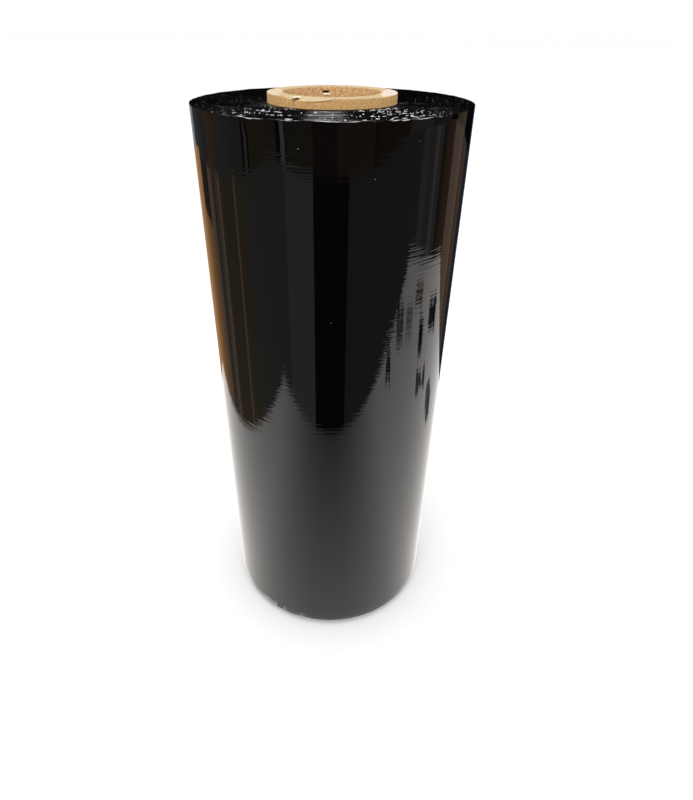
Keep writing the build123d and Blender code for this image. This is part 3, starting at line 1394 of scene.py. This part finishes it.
@dataclass(frozen=True)
class Streak:
    """A flat patch that only gloss shows, between two azimuths and two distances from the axis."""

    name: str
    first_azimuth: float
    last_azimuth: float
    near: float
    far: float
    radiance: float
    tint: Colour = (1.0, 0.98, 0.95)
    ragged: float = 0.09
    strokes: float = 24.0
    breaks: float = 7.0
    dimmest: float = 0.25
    steps: int = 9
    height: float = 0.1 * MM

    def glow(self) -> bpy.types.Material:
        """Makes its light, in strokes that run away from the axis.

        Returns:
            The material.
        """
        bench = Bench.for_finish(self.name)
        x, y, _ = bench.axes()
        strokes = bench.vector(x.angle_from(y) * self.strokes, (x * x + y * y) ** 0.5 * self.breaks, 0.0)
        dim = tuple(channel * self.dimmest for channel in self.tint)
        tone = bench.mixed(bench.grain(strokes, 1.0, 2.0).eased(0.38, 0.60), dim, self.tint)
        return bench.glow_finish(tone, self.radiance)

    def build(self) -> bpy.types.Object:
        """Makes the patch, whose near and far edges are ragged.

        Returns:
            The patch, which only gloss shows.
        """
        bm = bmesh.new()
        azimuths = [*spread(self.first_azimuth, self.last_azimuth, self.steps), self.last_azimuth]
        near = [self.near + self.ragged * (0.5 + flutter(a, 150.0, 31.0)) for a in azimuths]
        inner = [bm.verts.new(on_roll(a, distance, self.height)) for a, distance in zip(azimuths, near)]
        line = [bm.edges.new(pair) for pair in zip(inner, inner[1:])]
        grown = bmesh.ops.extrude_edge_only(bm, edges=line)
        for item in grown["geom"]:
            if isinstance(item, bmesh.types.BMVert):
                azimuth = azimuth_of(item.co)
                distance = self.far + self.ragged * (flutter(azimuth, 130.0, 37.0) - 0.3)
                item.co = on_roll(azimuth, distance, self.height)
        piece = shown(self.name, bm, [self.glow()], 60.0)
        seen_by(piece, SeenBy.GLOSS)
        return piece


@dataclass(frozen=True)
class Panel:
    """A flat panel overhead that only gloss shows. Its sides are its left, right, front and back limits."""

    name: str
    sides: tuple[float, float, float, float]
    radiance: float
    lift: float = 0.0


@dataclass(frozen=True)
class Lamp:
    """A soft rectangular lamp that gloss doesn't show, aimed at the roll's top from an offset."""

    name: str
    offset: tuple[float, float, float]
    size: tuple[float, float]
    radiance: float

    def build(self, top: float) -> None:
        """Hangs the lamp.

        Args:
            top: the height of the roll's top.
        """
        lamp = bpy.data.lights.new(self.name, "AREA")
        lamp.shape = "RECTANGLE"
        lamp.size, lamp.size_y = self.size
        lamp.energy = self.radiance * self.size[0] * self.size[1] * math.pi
        piece = bpy.data.objects.new(self.name, lamp)
        aim = Vector((0.0, 0.0, top))
        piece.location = aim + Vector(self.offset)
        piece.rotation_mode = "QUATERNION"
        piece.rotation_quaternion = (-Vector(self.offset)).to_track_quat("-Z", "Y")
        piece.visible_camera = False
        piece.visible_glossy = False
        bpy.context.scene.collection.objects.link(piece)


@dataclass
class Studio:
    """The pale floor, the soft light and the cards that the gloss shows."""

    floor_half: float = 30.0
    floor_colour: Colour = (0.90, 0.90, 0.90)
    sheet: Sheet = Sheet()
    sky: float = 1.17
    gloss_sky: float = 0.004
    panel_height: float = 1.75
    panels: tuple[Panel, ...] = (
        Panel("ceiling_panel", (-0.65, 0.65, -0.65, 0.65), 17.0),
        Panel("left_wing", (-2.0, -0.65, -0.65, 1.1), 8.0),
        Panel("right_wing", (0.65, 2.0, -0.65, 1.1), 8.0),
        Panel("ceiling_strip", (-0.16, 0.08, 1.45, 2.0), 8.0),
        Panel("ceiling_far", (-3.0, 3.0, 0.65, 4.5), 0.05, lift=0.05),
    )
    lamps: tuple[Lamp, ...] = (
        Lamp("over_soft", (-0.2, -0.2, 1.6), (1.2, 1.2), 0.9),
        Lamp("front_soft", (-0.5, -2.3, 0.9), (1.8, 1.2), 2.4),
    )
    cards: tuple[Card, ...] = (
        Card("left_back_card", -180.0, -157.0, 0.12),
        Card("left_warm_card", -157.0, -127.0, 0.70, (1.0, 0.54, 0.26)),
        Card("left_amber_card", -127.0, -120.0, 0.60, (1.0, 0.48, 0.18), high=0.31),
        Card("left_brown_card", -120.0, -112.0, 0.50, (1.0, 0.50, 0.20), high=0.31),
        Card("left_shade_card", -127.0, -112.0, 0.07, (1.0, 0.65, 0.42), low=0.31),
        Card("left_pale_card", -112.0, -105.0, 0.33, (1.0, 0.70, 0.50)),
        Card("left_dark_card", -105.0, -100.0, 0.15, (1.0, 0.72, 0.55)),
        Card("left_tan_card", -100.0, -95.5, 0.25, (1.0, 0.78, 0.62)),
        Card("left_line_card", -95.5, -93.5, 0.50, (1.0, 0.76, 0.55)),
        Card("left_dusk_card", -93.5, -85.0, 0.165, (1.0, 0.82, 0.60)),
        Card("left_olive_card", -85.0, -77.0, 0.21, (1.0, 0.74, 0.38)),
        Card("left_thin_card", -77.0, -75.3, 0.58, (1.0, 0.72, 0.55)),
        Card("left_umber_card", -75.3, -66.0, 0.23, (1.0, 0.78, 0.48)),
        Card("left_card", -66.0, -34.0, 0.205, (1.0, 1.0, 0.93)),
        Card("left_near_card", -34.0, -13.0, 0.31, (1.0, 1.0, 0.93)),
        Card("black_card", -13.0, 12.0, 0.006),
        Card("right_card", 12.0, 73.0, 0.128, (1.0, 1.0, 0.90)),
        Card("right_gap_card", 73.0, 79.0, 0.23),
        Card("right_side_card", 79.0, 86.0, 0.16),
        Card("right_pale_card", 86.0, 89.5, 0.30),
        Card("right_grey_card", 89.5, 94.0, 0.18, (1.0, 0.90, 0.75)),
        Card("right_dark_card", 94.0, 99.0, 0.08, (1.0, 0.70, 0.50)),
        Card("right_dusk_card", 99.0, 104.0, 0.13, (1.0, 0.70, 0.45)),
        Card("right_warm_card", 104.0, 109.0, 0.17, (1.0, 0.50, 0.36)),
        Card("right_line_card", 109.0, 113.0, 0.42, (1.0, 0.68, 0.55)),
        Card("right_tan_card", 113.0, 122.0, 0.36, (1.0, 0.72, 0.50)),
        Card("right_brown_card", 122.0, 131.0, 0.17, (1.0, 0.62, 0.40)),
        Card("right_cool_card", 131.0, 180.0, 0.055, (0.45, 0.60, 1.0)),
        Card("far_left_pale_card", -170.0, -142.0, 0.42, (0.96, 0.96, 1.0), high=0.5, out=2.4),
        Card("far_left_dark_card", -142.0, -115.0, 0.08, high=1.3, out=2.4),
        Card("far_left_brown_card", -115.0, -98.0, 0.17, (1.0, 0.68, 0.45), high=1.3, out=2.4),
        Card("far_left_side_card", -98.0, -71.0, 0.15, high=1.3, out=2.4),
        Card("far_left_line_card", -69.0, -66.5, 0.28, high=1.3, out=2.4),
        Card("far_left_warm_card", -65.0, -42.0, 0.15, (1.0, 0.72, 0.45), high=1.3, out=2.4),
        Card("far_left_strip_card", -38.5, -35.0, 0.48, high=1.3, out=2.4),
        Card("far_left_near_card", -34.0, -14.0, 0.12, (1.0, 0.85, 0.65), high=1.3, out=2.4),
        Card("far_middle_card", -14.0, 4.0, 0.06, (1.0, 0.65, 0.50), high=1.3, out=2.4),
        Card("far_right_near_card", 4.0, 32.0, 0.14, (1.0, 0.62, 0.48), high=1.3, out=2.4),
        Card("far_right_card", 32.0, 60.0, 0.08, (1.0, 0.68, 0.45), high=1.3, out=1.6),
        Card("far_right_side_card", 60.0, 81.0, 0.18, high=1.3, out=1.6),
        Card("far_right_gap_card", 81.0, 91.0, 0.09, high=1.3, out=1.6),
        Card("far_right_brown_card", 91.0, 103.0, 0.14, (1.0, 0.70, 0.45), high=1.3, out=1.6),
        Card("far_right_warm_card", 113.0, 128.0, 0.22, (1.0, 0.70, 0.48), high=1.3, out=2.4),
        Card("far_right_cool_card", 148.0, 178.0, 0.07, (0.45, 0.62, 1.0), high=0.5, out=2.4),
    )
    streaks: tuple[Streak, ...] = (
        Streak("near_streak", 50.0, 54.5, 0.56, 0.73, 0.25),
        Streak("grey_streak", 59.0, 66.0, 0.69, 0.94, 0.42),
        Streak("pale_streak", 69.0, 76.0, 0.71, 0.92, 0.80),
        Streak("warm_streak", 78.0, 87.0, 0.87, 1.07, 0.45, (1.0, 0.62, 0.48)),
        Streak("dark_streak", 85.5, 91.0, 0.62, 0.85, 0.10, (0.7, 0.8, 1.0)),
        Streak("broad_streak", 86.0, 99.0, 0.47, 0.61, 0.28),
        Streak("side_streak", 98.0, 109.0, 0.72, 0.94, 0.10, (0.7, 0.8, 1.0)),
        Streak("cool_streak", 104.0, 114.0, 0.38, 0.53, 0.40, (0.6, 0.78, 1.0)),
    )

    def floor(self) -> None:
        """Lays the pale floor, and the sheet that gloss shows in its place."""
        sheet = (-self.sheet.left, self.sheet.right, -self.sheet.front, self.sheet.back)
        wide = (-self.floor_half, self.floor_half, -self.floor_half, self.floor_half)
        self._plane("sheet", sheet, -0.1 * MM, self.sheet.glow(), SeenBy.GLOSS)
        self._plane("floor", wide, 0.0, matt("pale_floor", self.floor_colour), SeenBy.EYE_AND_LIGHT)

    def _plane(
        self, name: str, sides: tuple[float, float, float, float], height: float,
        material: bpy.types.Material, who: SeenBy,
    ) -> None:
        """Lays a level rectangle.

        Args:
            name: its name.
            sides: its left, right, front and back limits.
            height: its height.
            material: its finish.
            who: which rays meet it.
        """
        left, right, front, back = sides
        bm = bmesh.new()
        bmesh.ops.create_grid(bm, x_segments=1, y_segments=1, size=0.5)
        bmesh.ops.scale(bm, vec=(right - left, back - front, 1.0), verts=bm.verts)
        bmesh.ops.translate(bm, vec=((left + right) / 2, (front + back) / 2, height), verts=bm.verts)
        seen_by(shown(name, bm, [material], 60.0), who)

    def ceiling(self) -> None:
        """Hangs the overhead panels."""
        for panel in self.panels:
            glow = glowing(panel.name, WHITE[:3], panel.radiance)
            self._plane(panel.name, panel.sides, self.panel_height + panel.lift, glow, SeenBy.GLOSS)

    def sky_light(self) -> None:
        """Lights everything softly from all round, dim where gloss shows it and white behind the roll."""
        bench = Bench(bpy.data.worlds.new("studio"))
        soft, dim, plain = (
            bench.add("ShaderNodeBackground", inputs={"Color": WHITE, "Strength": strength}).outputs[0]
            for strength in (self.sky, self.gloss_sky, 1.0)
        )
        ray = bench.add("ShaderNodeLightPath").outputs
        lit = bench.add("ShaderNodeMixShader", inputs={0: ray["Is Glossy Ray"], 1: soft, 2: dim})
        seen = bench.add("ShaderNodeMixShader", inputs={0: ray["Is Camera Ray"], 1: lit.outputs[0], 2: plain})
        bench.add("ShaderNodeOutputWorld", inputs={"Surface": seen.outputs[0]})
        bpy.context.scene.world = bench.owner

    def build(self, top: float) -> None:
        """Sets the whole stage.

        Args:
            top: the height of the roll's top.
        """
        self.floor()
        for card in self.cards:
            card.build(self.sheet)
        for streak in self.streaks:
            streak.build()
        self.ceiling()
        for lamp in self.lamps:
            lamp.build(top)
        self.sky_light()
        bpy.context.scene.view_settings.view_transform = "Standard"


@dataclass(frozen=True)
class Eye:
    """The camera, close in front of the roll, a little above its top and looking down at it."""

    place: tuple[float, float, float] = (0.0, -0.49195, 0.55978)
    pitch_down: float = 33.97
    yaw: float = -0.356
    roll: float = 0.522
    lens_mm: float = 25.445
    shift: float = 0.01625

    def build(self) -> None:
        """Makes the scene's camera."""
        camera = bpy.data.cameras.new("camera")
        camera.sensor_width = 36.0
        camera.lens = self.lens_mm
        camera.shift_x = self.shift
        piece = bpy.data.objects.new("camera", camera)
        aim = Matrix.Rotation(math.radians(self.yaw), 4, "Z")
        tilt = Matrix.Rotation(math.radians(90.0 - self.pitch_down), 4, "X")
        level = Matrix.Rotation(math.radians(self.roll), 4, "Z")
        piece.matrix_world = Matrix.Translation(self.place) @ aim @ tilt @ level
        bpy.context.scene.collection.objects.link(piece)
        bpy.context.scene.camera = piece


def main() -> None:
    """Builds the roll and its stage."""
    logging.basicConfig(level=logging.INFO, format="%(message)s")
    noise.seed_set(NOISE_SEED)  # otherwise the clock sets the offsets of vector noise
    _, core_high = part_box("core")
    film_low, film_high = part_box("film_roll")
    mounts = {mount["name"]: mount for mount in frame["record"]["mounts"]}
    bore = mounts["core_bore"]["dims"]["r_mm"] * MM
    Eye().build()
    core = Core(core_high.x, bore, core_high.z)
    roll = FilmRoll(core_high.x, film_high.x, film_low.z, film_high.z)
    for piece in (core.build(), core.build_flap(), roll.build(), roll.build_turned_edges()):
        piece.data.calc_loop_triangles()
        log.info("%s: %d triangles", piece.name, len(piece.data.loop_triangles))
    Studio().build(core_high.z)


if __name__ == "__main__":
    main()
